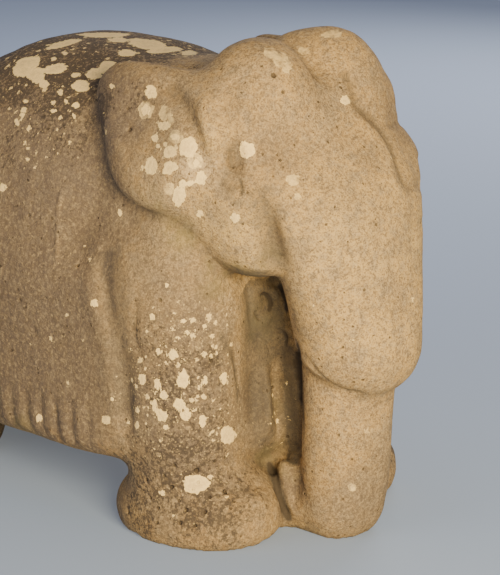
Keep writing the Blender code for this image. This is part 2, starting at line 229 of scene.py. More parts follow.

# %% [markdown]
# ## The low carving
# Each stroke is a line with a half width and a height in millimetres: a negative height is a groove, a
# positive one a ridge. They stay low, because the main forms are in the solid already. A stroke is on both
# sides of the animal, on one, or on one and begun behind its outline. A pit has a radius in pixels of the
# picture. Painted shade lies along lines too, in crevices, grooves and recesses and on the far temple, and
# those have a strength in place of the height.

# %% Name the strokes, pits and lines of painted shade
BOTH, ONE, ROUND = "both sides", "one side", "one side, round the outline"
STROKES = {
    "temple groove": ([(338, 64), (352, 84), (357, 102), (367, 114), (378, 124), (386, 136), (394, 152),
        (401, 172), (405, 190)], 9, -4.5, ONE),
    "trunk ridge": ([(352, 108), (364, 122), (376, 136), (386, 152), (391, 172), (392, 192)], 10, 2.2,
        ONE),
    "brow nick": ([(401, 121), (394, 124), (386, 126)], 6, -3.2, ROUND),
    "dome nick": ([(383, 71), (377, 76), (370, 80)], 5, -1.8, ROUND),
    "eye nick": ([(420, 184), (412, 188), (404, 190)], 7, -4.0, ROUND),
    "brow wrinkle": ([(422, 222), (415, 226), (407, 227)], 5, -2.2, ROUND),
    "dome valley": ([(287, 39), (298, 52), (310, 68), (322, 86)], 9, -2.6, ONE),
    "ear groove": ([(148, 80), (163, 86), (177, 95), (187, 109), (195, 126), (200, 143), (205, 162)], 9,
        -2.8, BOTH),
    "ear bowl": ([(128, 96), (124, 118), (128, 140), (138, 160)], 16, -1.8, BOTH),
    "roll": ([(196, 92), (208, 112), (214, 140), (216, 168), (210, 192)], 8, 1.6, BOTH),
    "brow crease": ([(231, 95), (231, 86), (236, 79), (246, 75), (256, 76)], 3, -1.3, BOTH),
    "eye hollow": ([(234, 130), (236, 148), (235, 166), (235, 182), (240, 198)], 13, -4.4, BOTH),
    "eye socket": ([(221, 168), (222, 186), (228, 198), (237, 204), (249, 200)], 6, -2.6, BOTH),
    "lid fold": ([(229, 142), (226, 158), (219, 174), (211, 188)], 6, 2.4, BOTH),
    "upper lid": ([(232, 143), (231, 152), (231, 162), (233, 172)], 3.0, -2.2, BOTH),
    "lower lid": ([(236, 176), (240, 184), (241, 192), (237, 198)], 2.8, -2.4, BOTH),
    "cheek groove": ([(261, 192), (267, 212), (272, 232), (275, 250), (277, 268)], 13, -6.0, BOTH),
    "cheek wrinkle": ([(237, 223), (247, 225), (256, 228), (264, 234)], 3, -1.1, BOTH),
    "lip crease": ([(303, 350), (309, 362), (320, 375), (336, 386), (352, 392), (368, 392)], 4, -2.0,
        ONE),
    "lip fold one": ([(400, 388), (395, 397), (384, 404), (370, 408)], 5, -1.6, ONE),
    "lip fold two": ([(397, 384), (386, 388), (376, 391)], 5, 1.2, ONE),
    "trunk ring one": ([(340, 418), (366, 423), (391, 417)], 4, -1.5, ONE),
    "trunk ring two": ([(350, 434), (374, 438), (390, 432)], 4, -1.4, ONE),
    "trunk ring three": ([(345, 450), (372, 454), (389, 448)], 4, -1.4, ONE),
    "trunk ring four": ([(355, 466), (376, 469), (388, 464)], 4, -1.2, ONE),
    "trunk ring five": ([(358, 482), (376, 484), (386, 480)], 4, -1.0, ONE),
    "tip gap": ([(268, 460), (273, 472), (277, 484), (281, 497), (285, 509), (290, 521)], 5, -6.0, BOTH),
    "tip side": ([(282, 460), (284, 478), (288, 496), (292, 510), (297, 521)], 6, 2.6, BOTH),
    "tip knob": ([(285, 460), (291, 456), (297, 457), (301, 461)], 6, 3.2, BOTH),
    "tip hollow": ([(300, 468), (301, 478), (303, 490), (306, 504)], 5, -2.2, BOTH),
    "tip recess": ([(276, 449), (286, 446), (296, 447), (301, 452)], 6, -3.0, BOTH),
    "flank crease": ([(64, 180), (60, 200), (58, 215), (57, 260), (58, 272)], 3, 1.4, BOTH),
    "elbow fold": ([(101, 242), (104, 275), (109, 310), (118, 348), (126, 380), (130, 420)], 10, -2.4,
        BOTH),
    "shoulder fold": ([(137, 292), (134, 318), (135, 342), (144, 360)], 6, -2.4, BOTH),
    "leg edge": ([(224, 338), (232, 350), (237, 366), (239, 390)], 5, -3.2, BOTH),
    "leg edge roll": ([(222, 308), (228, 332), (230, 360)], 6, 1.6, BOTH),
    "scroll": ([(258, 298), (262, 295), (268, 297), (271, 303), (270, 309), (266, 313)], 3.2, -4.8, BOTH),
    "scroll heart": ([(258, 309), (257, 314), (260, 318), (264, 318)], 3, -3.4, BOTH),
    "scroll rim": ([(266, 286), (275, 291), (280, 302), (279, 314), (273, 322)], 4, 3.0, BOTH),
    "scroll border": ([(276, 281), (282, 290), (286, 303), (286, 316)], 3, -2.0, BOTH),
    "scroll loop": ([(277, 325), (279, 331), (284, 334), (286, 340), (283, 347)], 3.2, -4.0, BOTH),
    "chest crease": ([(254, 334), (261, 340), (267, 345), (270, 351), (266, 359)], 2.6, -1.8, BOTH),
    "chest edge": ([(246, 278), (249, 294), (251, 310), (255, 326)], 6, -2.6, BOTH),
    "trunk gap": ([(297, 343), (299, 356), (298, 372), (301, 386), (303, 404), (303, 430), (303, 452)], 4,
        -5.0, BOTH),
    "tassel left": ([(262, 362), (261, 400), (263, 438)], 3.5, -2.2, BOTH),
    "tassel right": ([(279, 368), (279, 410), (276, 445)], 3.5, -2.2, BOTH),
    "tassel rod": ([(270, 366), (270, 400), (270, 436)], 5, 1.2, BOTH),
    "tassel knot": ([(268, 437), (266, 443), (268, 450)], 2.6, -1.6, BOTH),
    "tassel eye": ([(270, 386), (273, 389), (275, 395)], 2.4, -1.6, BOTH),
    "nail line one": ([(216, 502), (222, 494), (234, 493), (246, 500)], 3, -1.0, BOTH),
    "nail line two": ([(250, 498), (254, 489), (262, 486), (268, 493)], 3, -1.0, BOTH),
}
PITS = [
    (274, 75, 3), (283, 92, 1.6), (341, 87, 1.8), (340, 82, 1.2), (128, 108, 2.2), (129, 129, 2.4),
    (197, 471, 3), (175, 466, 2.2), (172, 487, 2), (186, 510, 2.4), (150, 498, 2), (179, 501, 1.8),
    (225, 491, 2), (234, 501, 1.8), (128, 512, 2.2), (180, 523, 2), (157, 523, 2), (226, 492, 1.8),
    (231, 508, 1.8), (171, 488, 1.8), (158, 508, 1.8), (195, 526, 2), (146, 480, 2), (164, 476, 1.6),
    (210, 497, 1.6), (205, 512, 2), (273, 387, 1.6), (202, 358, 2.2), (190, 360, 1.6), (212, 360, 3),
    (160, 300, 2), (20, 300, 2), (34, 330, 2), (78, 265, 2), (12, 350, 2), (50, 310, 1.6), (85, 340, 1.6),
    (29, 215, 1.8),
]
# Lines of painted shade: a darker colour laid where shade falls, in crevices, grooves, recesses and under
# the lip, and on the far temple, which turns from the light.
SHADE_LINES = {
    "trunk gap": ([(296, 338), (299, 352), (298, 368), (301, 384), (303, 404), (303, 430)], 8, 1.0, BOTH),
    "tip gap": ([(267, 458), (273, 472), (277, 484), (281, 497), (285, 509), (290, 523)], 5, 1.0, BOTH),
    "chest shade": ([(250, 268), (254, 295), (258, 318), (266, 342), (274, 362)], 25, 0.78, BOTH),
    "neck shade": ([(268, 276), (273, 300), (278, 325), (284, 345)], 12, 0.8, BOTH),
    "web shade": ([(287, 340), (290, 375), (292, 410), (294, 445), (294, 468)], 13, 0.84, BOTH),
    "tassel shade": ([(262, 350), (262, 380), (264, 410), (266, 444)], 20, 0.62, BOTH),
    "elbow shade": ([(109, 245), (113, 285), (119, 325), (126, 368), (131, 420)], 20, 0.42, BOTH),
    "valley shade": ([(257, 184), (263, 203), (269, 225), (275, 250), (279, 270)], 17, 0.4, BOTH),
    "leg edge": ([(217, 334), (228, 346), (235, 362), (238, 384), (238, 406)], 4.5, 0.66, BOTH),
    "cheek corner": ([(270, 234), (275, 248), (279, 261), (281, 272)], 9, 0.42, BOTH),
    "trunk edge": ([(284, 276), (290, 300), (297, 325), (305, 345)], 6, 0.3, BOTH),
    "scroll": ([(260, 294), (267, 296), (271, 303), (270, 309), (265, 314)], 3.2, 1.0, BOTH),
    "scroll heart": ([(258, 309), (257, 314), (260, 318)], 3, 0.9, BOTH),
    "scroll loop": ([(279, 331), (284, 334), (286, 340), (283, 347)], 2.4, 0.95, BOTH),
    "scroll border": (STROKES["scroll border"][0], 4, 0.95, BOTH),
    "chest crease": ([(254, 334), (261, 340), (267, 345)], 2.2, 0.5, BOTH),
    "upper lid": ([(231, 143), (230, 152), (231, 162), (233, 172)], 2.4, 0.6, BOTH),
    "lower lid": (STROKES["lower lid"][0], 2.0, 0.7, BOTH),
    "lip": (STROKES["lip crease"][0], 4, 0.35, ONE),
    "eye": ([(233, 138), (234, 150), (232, 165), (231, 182), (236, 197)], 10, 0.34, BOTH),
    "eye socket": ([(221, 170), (222, 186), (228, 198), (237, 204), (247, 201)], 5, 0.22, BOTH),
    "cheek groove": ([(261, 192), (267, 212), (272, 232), (276, 250), (279, 270)], 7, 0.54, BOTH),
    "ear groove": ([(163, 86), (177, 95), (187, 109), (195, 126), (200, 143), (205, 162)], 8, 0.26, BOTH),
    "ear back": ([(97, 131), (103, 156), (112, 178), (124, 194), (143, 204)], 8, 0.18, BOTH),
    "temple": ([(340, 67), (352, 84), (357, 102), (367, 114), (378, 124), (386, 136), (395, 154),
        (401, 176), (408, 196)], 8, 0.38, ONE),
}
print(len(STROKES), "strokes,", len(SHADE_LINES), "lines of painted shade and", len(PITS), "pits are named")

# %% [markdown]
# ## Finer faces where there is detail
# Low carving and small lichens need small faces, but only where they are. The faces near a mark are
# divided in four, and where the mark is small, once more. The rest of the skin stays as it is, so the
# whole piece remains light.
#
# A lichen is a place in the picture with half a width, half a height and a tilt in degrees. The faint ones
# are old lichens that have almost gone.

# %% Name the lichens
LICHENS = {
    "back": [
        (26, 66, 15, 8, -30), (36, 75, 9, 8, 0), (55, 69, 13, 5, -12), (44, 84, 5, 4, 0),
        (63, 44, 18, 3, -14), (104, 35, 25, 2.5, 0), (118, 40, 10, 2.5, 0), (127, 53, 9, 3.5, 0),
        (147, 44, 19, 5, 6), (164, 50, 19, 3, -5), (189, 53, 8, 2.5, 0), (107, 67, 10, 5.5, -20),
        (94, 74, 8, 5.5, 0), (76, 75, 4.5, 2.5, 0), (81, 86, 9, 6, 0), (112, 86, 2, 2, 0),
        (60, 92, 3, 3, 0), (65, 53, 3, 2, 0), (54, 59, 3, 2, 0), (23, 113, 3, 7, 20), (17, 122, 2, 4, 0),
        (53, 111, 3, 2, 0), (76, 105, 3.5, 3, 0), (66, 101, 2, 2, 0), (74, 116, 1.5, 2.5, 0),
        (26, 101, 3, 2, 0), (53, 103, 2, 2, 0), (27, 159, 2, 2, 0), (3, 187, 4, 5, 0),
    ],
    "ear": [
        (151, 92, 6, 6.5, 0), (146, 110, 5, 6, 0), (164, 126, 7, 4.5, -10), (155, 138, 3.5, 4, 0),
        (158, 146, 2.2, 2, 0), (170, 152, 6.5, 6.5, 0), (151, 166, 6.5, 9, 0), (170, 168, 8, 6.2, -30),
        (188, 147, 9, 10.5, 10), (175, 137, 5, 3.5, 20), (196, 163, 3.5, 4, 0), (201, 178, 5.5, 7, 0),
        (183, 184, 5, 4, 0), (191, 183, 5, 2.6, -10), (179, 196, 6.5, 10.5, 10), (200, 214, 3.8, 3.8, 0),
        (235, 218, 4.8, 4.8, 0), (247, 150, 8, 8.5, 0), (120, 213, 2.5, 3.5, 0), (345, 100, 5, 5, 0),
        (111, 86, 1.6, 2.6, 0),
    ],
    "leg": [
        (94, 303, 4, 4, 0), (167, 285, 1.5, 2.5, 0), (152, 317, 3, 4, 0), (183, 321, 3, 2, 0),
        (179, 338, 3.5, 2, 0), (187, 333, 3, 3, 0), (173, 355, 5.5, 5, 0), (159, 351, 3, 3, 0),
        (211, 356, 3, 3, 0), (142, 379, 4, 5.5, 0), (157, 384, 4, 5, 0), (183, 380, 7, 8, 10),
        (205, 380, 4, 4.5, 0), (224, 378, 4.5, 6, 0), (199, 387, 3, 3, 0), (164, 395, 4, 4, 0),
        (154, 404, 4, 5, 0), (179, 404, 6, 6, 0), (161, 415, 8, 5, 40), (186, 415, 5.5, 5.5, 0),
        (203, 421, 4.5, 6, 0), (228, 435, 8, 9, 0), (137, 410, 2.5, 2.5, 0), (137, 425, 2.5, 3.5, 0),
        (166, 427, 3, 3, 0), (196, 484, 13, 9.5, -5), (162, 493, 3, 3, 0), (39, 418, 3, 4, 0),
        (106, 420, 4.5, 4.5, 0), (112, 399, 2, 2, 0),
    ],
}
FAINT_LICHENS = [
    (271, 53, 8, 5, 20), (281, 60, 8, 7, 45), (287, 67, 5, 6, 30), (304, 51, 6, 4, 10),
    (332, 34, 10, 4, -5), (293, 180, 7, 6, 0), (146, 110, 8, 9, 0), (165, 113, 6, 8, 10),
    (176, 137, 8, 7, 0), (195, 161, 8, 8, 0), (170, 189, 5, 6.5, 0), (298, 196, 4, 3, 0),
    (352, 487, 4, 4, 0), (368, 430, 4, 3, 0), (170, 121, 4, 4, 0),
]
MM = 0.001
PIXEL_MM = 1.22
marks = [mark for group in LICHENS.values() for mark in group]
print(len(marks), "lichens are named on the near side")

# %% Find the strokes and lichens on the clay
def all_lines(named):
    """The named picture lines on the clay, on both sides where they are meant so."""
    found = []
    for points, half_width, strength, sides in named.values():
        points, normals = line_on_clay(points)
        if sides == ROUND:
            points, normals = round_the_outline(points, normals)
        found.append((points, normals, half_width, strength))
        if sides == BOTH:
            found.append((*mirrored(points, normals), half_width, strength))
    return found


def all_patches(named):
    """The named patches of lichen with their places and normals on the clay."""
    found = []
    for u, v, half_wide, half_high, tilt in named:
        hit = on_clay(u, v)
        if hit:
            at, normal = np.array(hit[0]), np.array(hit[1])
            found.append((u, v, half_wide, half_high, math.radians(tilt), at, normal))
    return found


carved = all_lines(STROKES)
shaded_lines = all_lines(SHADE_LINES)
crusts = all_patches(marks)
faint = all_patches(FAINT_LICHENS)
holes = []
for u, v, radius in PITS:
    hit = on_clay(u, v)
    if hit:
        holes.append((np.array(hit[0]), MM * PIXEL_MM * radius))
print(len(carved), "strokes,", len(crusts), "lichens and", len(holes), "pits lie on the clay")

# %% Divide the faces near them
FIRST_REACH = 0.0030
SECOND_REACH = 0.0018
SMALL_LICHEN = 5
NARROW_STROKE = 3


def divide(shape, targets, reach):
    """Divides every face whose middle lies within a reach of one of the target points."""
    middles = np.array([face.calc_center_median() for face in shape.faces])
    near = np.zeros(len(middles), bool)
    for target, extra in targets:
        low = target.min(0) - reach - extra
        high = target.max(0) + reach + extra
        inside = np.flatnonzero(((middles > low) & (middles < high)).all(1) & ~near)
        if len(inside) == 0:
            continue
        gaps = np.linalg.norm(middles[inside, None] - target[None], axis=2).min(1)
        near[inside[gaps < reach + extra]] = True
    faces = [face for face, chosen in zip(shape.faces, near) if chosen]
    edges = list({edge for face in faces for edge in face.edges})
    bmesh.ops.subdivide_edges(shape, edges=edges, cuts=1, use_grid_fill=True)
    return len(faces)


stroke_targets = [(points, MM * half_width) for points, _, half_width, _ in carved]
crust_targets = [(at[None], MM * PIXEL_MM * max(w, h)) for _, _, w, h, _, at, _ in crusts + faint]
hole_targets = [(at[None], radius) for at, radius in holes]
first = divide(form, stroke_targets + crust_targets + hole_targets, FIRST_REACH)
small = [target for target in crust_targets if target[1] < MM * PIXEL_MM * SMALL_LICHEN]
narrow = [target for target in stroke_targets if target[1] <= MM * NARROW_STROKE]
second = divide(form, small + narrow + hole_targets, SECOND_REACH)
bmesh.ops.triangulate(form, faces=form.faces)
soften(form, form.verts, 1, 0.35)
print("divided", first, "and", second, "faces;", len(form.faces), "triangles now")

# %% [markdown]
# ## Carving
# The vertices now move along their normals, as clay does under a loop tool. A stroke fades to nothing at
# both ends and across its width. Only points that face the same way as the stroke are moved, so a groove
# on the trunk doesn't reach through to the chest behind it. The lines of painted shade are found in the
# same way, but only as a darker colour for later.

# %% Carve the strokes
STROKE_FADE = 0.020
SHADE_FADE = 0.010
mesh = bpy.data.meshes.new("weathered_elephant")
form.to_mesh(mesh)
form.free()
count = len(mesh.vertices)
places = np.empty(count * 3)
mesh.vertices.foreach_get("co", places)
places = places.reshape(-1, 3)
moves = np.zeros(count)


def vertex_normals():
    """The normals of all vertices, in rows."""
    values = np.empty(count * 3)
    mesh.vertex_normals.foreach_get("vector", values)
    return values.reshape(-1, 3)


def smooth_step(value, low, high):
    """A soft step from zero to one between two values."""
    t = np.clip((value - low) / (high - low), 0.0, 1.0)
    return t * t * (3 - 2 * t)


def on_stroke(points, normals, half_width, fade_length):
    """The vertices near a line, and how much each belongs to it, from zero to one."""
    reach = 2.6 * MM * half_width
    low, high = points.min(0) - reach, points.max(0) + reach
    near = np.flatnonzero(((places > low) & (places < high)).all(1))
    found = np.zeros(len(near))
    if len(near) == 0 or len(points) < 2:
        return near, found
    here = places[near]
    lengths = np.concatenate(([0], np.cumsum(np.linalg.norm(np.diff(points, axis=0), axis=1))))
    best = np.full(len(near), np.inf)
    along = np.zeros(len(near))
    heading = np.zeros((len(near), 3))
    for k in range(len(points) - 1):
        a, b = points[k], points[k + 1]
        span = b - a
        t = np.clip(((here - a) @ span) / max(span @ span, 1e-12), 0, 1)
        gap = np.linalg.norm(here - (a + t[:, None] * span), axis=1)
        closer = gap < best
        best[closer] = gap[closer]
        along[closer] = lengths[k] + t[closer] * (lengths[k + 1] - lengths[k])
        heading[closer] = normals[k]
    to_end = np.minimum(along, lengths[-1] - along)
    ends = smooth_step(to_end, 0.0, min(fade_length, 0.3 * lengths[-1]))
    same_way = smooth_step((facing[near] * heading).sum(1), 0.1, 0.5)
    across = np.exp(-((best / (MM * half_width)) ** 2))
    return near, across * ends * same_way


facing = vertex_normals()
for points, normals, half_width, height in carved:
    near, share = on_stroke(points, normals, half_width, STROKE_FADE)
    moves[near] += MM * height * share
# Painted shade along the lines of painted shade, kept for the colour.
shade_on_lines = np.zeros(count)
for points, normals, half_width, strength in shaded_lines:
    near, share = on_stroke(points, normals, half_width, SHADE_FADE)
    shade_on_lines[near] = np.maximum(shade_on_lines[near], strength * np.minimum(1.0, 1.5 * share))
print("strokes carved, from", round(moves.min() / MM, 1), "to", round(moves.max() / MM, 1), "mm")

# %% Press in the pits
FAR_FROM_PITS = 8.0
DEEPEST_PIT = 0.003
hole_edge = np.full(count, FAR_FROM_PITS)
for at, radius in holes:
    gap = np.linalg.norm(places - at, axis=1)
    moves -= 0.8 * min(radius, DEEPEST_PIT) * np.exp(-((gap / radius) ** 2))
    hole_edge = np.minimum(hole_edge, (gap - 0.8 * radius) / MM)
print("pits pressed in:", len(holes))

# %% [markdown]
# ## The fringe
# The blanket ends in a row of short tassels along the belly. The solid has a slot between each two of
# them. Here every tassel becomes a rounded rod with its own small wobble, under a low band.

# %% Round the tassels
FRINGE_PITCH = 0.02628
FRINGE_FRONT = trunk_foot.y + 0.2261
FRINGE_BACK = trunk_foot.y + 0.7049
FRINGE_END_FADE = 0.004
FRINGE_TOP, FRINGE_BOTTOM = 0.158, 0.108
BAND_MIDDLE, BAND_HALF_HEIGHT = 0.166, 0.005
TASSEL_RISE, GAP_DEPTH, BAND_RISE = 0.0024, 0.0008, 0.0010
TASSEL_SWING = 0.10

on_length = smooth_step(places[:, 1], FRINGE_FRONT - FRINGE_END_FADE, FRINGE_FRONT + FRINGE_END_FADE)
on_length *= 1 - smooth_step(places[:, 1], FRINGE_BACK - FRINGE_END_FADE, FRINGE_BACK + FRINGE_END_FADE)
on_side = smooth_step(np.abs(facing[:, 0]), 0.4, 0.8)
along_fringe = (places[:, 1] - FRINGE_FRONT) / FRINGE_PITCH
tassel_number = np.floor(along_fringe)
hanging = smooth_step(FRINGE_TOP - places[:, 2], 0.0, FRINGE_TOP - FRINGE_BOTTOM)
swing = TASSEL_SWING * np.sin(tassel_number * 2.4) * hanging
rod = np.sin(math.pi * np.clip(along_fringe - tassel_number + swing, 0, 1)) ** 0.6
on_fringe = on_length * smooth_step(places[:, 2], FRINGE_BOTTOM - 0.012, FRINGE_BOTTOM)
on_fringe *= 1 - smooth_step(places[:, 2], FRINGE_TOP - 0.008, FRINGE_TOP + 0.002)
on_fringe *= on_side
uneven = 0.6 + 0.4 * np.sin(tassel_number * 1.7 + 0.6)
moves += on_fringe * (TASSEL_RISE * rod * uneven - GAP_DEPTH * (1 - rod))
band = np.exp(-(((places[:, 2] - BAND_MIDDLE) / BAND_HALF_HEIGHT) ** 2)) * on_side * on_length
moves += BAND_RISE * band
print("fringe:", int(np.ptp(tassel_number[on_fringe > 0.5])) + 1, "tassels on each side")

# %% [markdown]
# ## Worn unevenness
# No hand-made surface is even. Two layers of noise press the clay in and out by about a millimetre: long
# soft swells, and a shorter, drier roughness. The flank also has faint upright pleats, where the blanket
# falls in folds.

# %% Press the clay in and out
SWELL_RISE, ROUGH_RISE, PLEAT_RISE = 0.0016, 0.0005, 0.0006
SWELL_SCALE, ROUGH_SCALE = 14, 60
ROUGH_SHIFT = Vector((7, 3, 1))
PLEAT_TURNS = 150
PLEATS_FROM, PLEATS_FULL = trunk_foot.y + 0.25, trunk_foot.y + 0.30
PLEATS_BOTTOM, PLEATS_FULL_HEIGHT = 0.16, 0.24
STILL_NEAR_SOLE = 0.012

swell = np.array([noise.noise(Vector(p) * SWELL_SCALE) for p in places])
rough = np.array([noise.noise(Vector(p) * ROUGH_SCALE + ROUGH_SHIFT) for p in places])
moves += SWELL_RISE * swell + ROUGH_RISE * rough
pleat = np.sin(places[:, 1] * PLEAT_TURNS + 6 * swell) * smooth_step(np.abs(facing[:, 0]), 0.5, 0.9)
pleat *= smooth_step(places[:, 1], PLEATS_FROM, PLEATS_FULL)
pleat *= smooth_step(places[:, 2], PLEATS_BOTTOM, PLEATS_FULL_HEIGHT)
moves += PLEAT_RISE * pleat
standing = smooth_step(places[:, 2], SOLE, STILL_NEAR_SOLE)
places = places + facing * (moves * standing)[:, None]
places[:, 2] = np.where(places[:, 2] < SOLE, 0.0, places[:, 2])
mesh.vertices.foreach_set("co", places.ravel())
mesh.update()
mesh.polygons.foreach_set("use_smooth", np.ones(len(mesh.polygons), bool))
elephant = bpy.data.objects.new("weathered_elephant", mesh)
bpy.context.scene.collection.objects.link(elephant)
print("skin moved by", round(float(np.abs(moves).mean()) / MM, 2), "mm on average")

# %% [markdown]
# ## Where the weather has been
# The finish needs to know where lichens, algae and moss sit. Each is stored on the vertices as a number,
# which a material can read as an attribute. A lichen is stored as the distance from its edge in
# millimetres, negative inside. The material can then draw a crisp, ragged outline that is finer than the
# faces of the mesh. The picture doesn't show the far side and the rear, so lichens are scattered there,
# around a few places where water stays: each has a middle, a spread in metres and a number of lichens.

# %% Store the lichens on the vertices
FAR_FROM_LICHENS = 12.0
SMALLEST_SCATTERED, SCATTERED_RANGE = 2.5, 9.0
HIDDEN_PATCHES = [
    ((0.15, -0.24, 0.46), 0.1, 16),
    ((0.13, -0.22, 0.22), 0.11, 16),
    ((0.08, 0.16, 0.5), 0.2, 34),
    ((-0.13, 0.28, 0.4), 0.16, 18),
    ((0.18, 0.28, 0.3), 0.16, 14),
    ((-0.14, 0.28, 0.12), 0.1, 9),
    ((0.14, 0.28, 0.12), 0.1, 9),
    ((0.0, 0.42, 0.35), 0.12, 9),
    ((0.0, 0.3, 0.52), 0.12, 12),
]
facing = vertex_normals()
offset = places - np.array(eye_point)
depth = -(offset @ np.array(back))
seen_u = PICTURE[0] / 2 + FOCAL * (offset @ np.array(right)) / depth
seen_v = PICTURE[1] / 2 - FOCAL * (offset @ np.array(up)) / depth


def store(name, values):
    """Keeps one number for each vertex under a name that the material can read."""
    mesh.attributes.new(name, "FLOAT", "POINT").data.foreach_set("value", values)


def distance_to_patches(patches):
    """Each vertex's distance from the edge of the nearest patch in millimetres, negative inside."""
    edge = np.full(count, FAR_FROM_LICHENS)
    for u, v, wide, high, tilt, at, normal in patches:
        reach = MM * (FAR_FROM_LICHENS + 4 * max(wide, high))
        near = np.flatnonzero(np.linalg.norm(places - at, axis=1) < reach)
        du, dv = seen_u[near] - u, seen_v[near] - v
        x = (du * math.cos(tilt) + dv * math.sin(tilt)) / wide
        y = (-du * math.sin(tilt) + dv * math.cos(tilt)) / high
        around = np.arctan2(y, x)
        lobes = 1 + 0.06 * np.sin(3 * around + u) + 0.05 * np.sin(5 * around + v)
        lobes += 0.02 * np.sin(8 * around + u + v)
        gap = (np.hypot(x, y) - lobes) * math.sqrt(wide * high) * PIXEL_MM
        ok = (facing[near] @ normal) > 0.1
        edge[near[ok]] = np.minimum(edge[near[ok]], gap[ok])
    return edge


edge = distance_to_patches(crusts)
dice = np.random.default_rng(11)
left_of_picture = seen_u < 4
hidden = (facing @ np.array(back) < 0.05) | left_of_picture
for centre, spread, number in HIDDEN_PATCHES:
    pool = np.flatnonzero(hidden & (np.linalg.norm(places - np.array(centre), axis=1) < spread))
    for k in dice.choice(pool, number, replace=False) if len(pool) > number else []:
        radius = SMALLEST_SCATTERED + SCATTERED_RANGE * dice.random() ** 2
        gap = np.linalg.norm(places - places[k], axis=1) / MM - radius
        edge = np.minimum(edge, np.where(facing @ facing[k] > 0.1, gap, FAR_FROM_LICHENS))
store("lichen", edge)
store("faint_lichen", distance_to_patches(faint))
store("pit", hole_edge)
print("lichens cover", round(100 * float((edge < 0).mean()), 1), "% of the vertices")

# %% [markdown]
# Hollows hold dirt, and their colour is darkened as painted shade too. They are found from the shape
# itself:
# when the skin is smoothed over and over, a hollow rises and a ridge sinks.

# %% Find the hollows
HOLLOW_PASSES = 24
DEEPEST_STORED = 3
ends_of_edges = np.empty(len(mesh.edges) * 2, int)
mesh.edges.foreach_get("vertices", ends_of_edges)
one, other = ends_of_edges.reshape(-1, 2).T
neighbours = np.bincount(one, minlength=count) + np.bincount(other, minlength=count)
flowing = places.copy()
for _ in range(HOLLOW_PASSES):
    total = np.empty_like(flowing)
    for axis in range(3):
        total[:, axis] = np.bincount(one, flowing[other, axis], count)
        total[:, axis] += np.bincount(other, flowing[one, axis], count)
    flowing = 0.5 * flowing + 0.5 * total / neighbours[:, None]
hollow = ((flowing - places) * facing).sum(1) / MM
store("hollow", np.clip(hollow, -DEEPEST_STORED, DEEPEST_STORED))
print("hollows from", round(float(hollow.min()), 2), "to", round(float(hollow.max()), 2), "mm")
